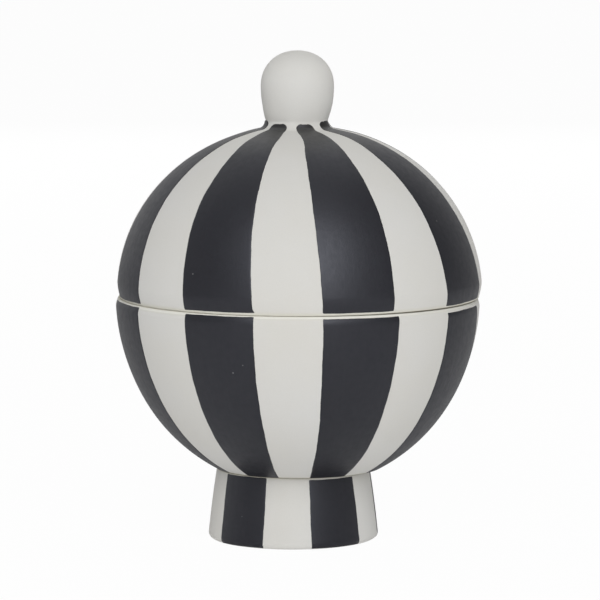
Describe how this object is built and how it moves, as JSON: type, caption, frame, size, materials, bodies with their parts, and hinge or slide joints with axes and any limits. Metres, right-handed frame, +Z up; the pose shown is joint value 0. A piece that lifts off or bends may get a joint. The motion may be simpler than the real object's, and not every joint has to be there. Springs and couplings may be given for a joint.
{
  "type": "candy box",
  "caption": "Round footed ceramic box with a lift-off domed lid, a knob to lift it by, a locating ring that keeps the lid in place, and painted upright stripes.",
  "frame": {"origin": "on the ground under the lid's axis, at the centre of the footprint of the whole box", "axes": "+Z up along the lid's axis, -Y towards the side that the picture shows, +X to its right"},
  "size_m": [0.12, 0.1196, 0.1602],
  "materials": {
    "bisque": "matte off-white bisque",
    "slip": "matte charcoal slip, brushed on"
  },
  "bodies": {
    "bowl": {"bowl_shell": "bisque", "foot_ring": "bisque", "bowl_stripe_1": "slip", "bowl_stripe_2": "slip", "bowl_stripe_3": "slip", "bowl_stripe_4": "slip", "bowl_stripe_5": "slip", "bowl_stripe_6": "slip", "bowl_stripe_7": "slip", "bowl_stripe_8": "slip", "foot_stripe_1": "slip", "foot_stripe_2": "slip", "foot_stripe_3": "slip", "foot_stripe_4": "slip", "foot_stripe_5": "slip"},
    "lid_ring": {"lid_locating_ring": "bisque"},
    "lid": {"lid_shell": "bisque", "lid_knob": "bisque", "lid_stripe_1": "slip", "lid_stripe_2": "slip", "lid_stripe_3": "slip", "lid_stripe_4": "slip", "lid_stripe_5": "slip", "lid_stripe_6": "slip", "lid_stripe_7": "slip", "lid_stripe_8": "slip"}
  },
  "joints": [
    {"name": "lid_lift", "type": "slide", "parent": "bowl", "child": "lid_ring", "axis": [0, 0, 1], "range_m": [0, 0.08]},
    {"name": "lid_turn", "type": "hinge", "parent": "lid_ring", "child": "lid", "pos_m": [0, 0, 0.07975], "axis": [0, 0, 1], "continuous": true}
  ]
}
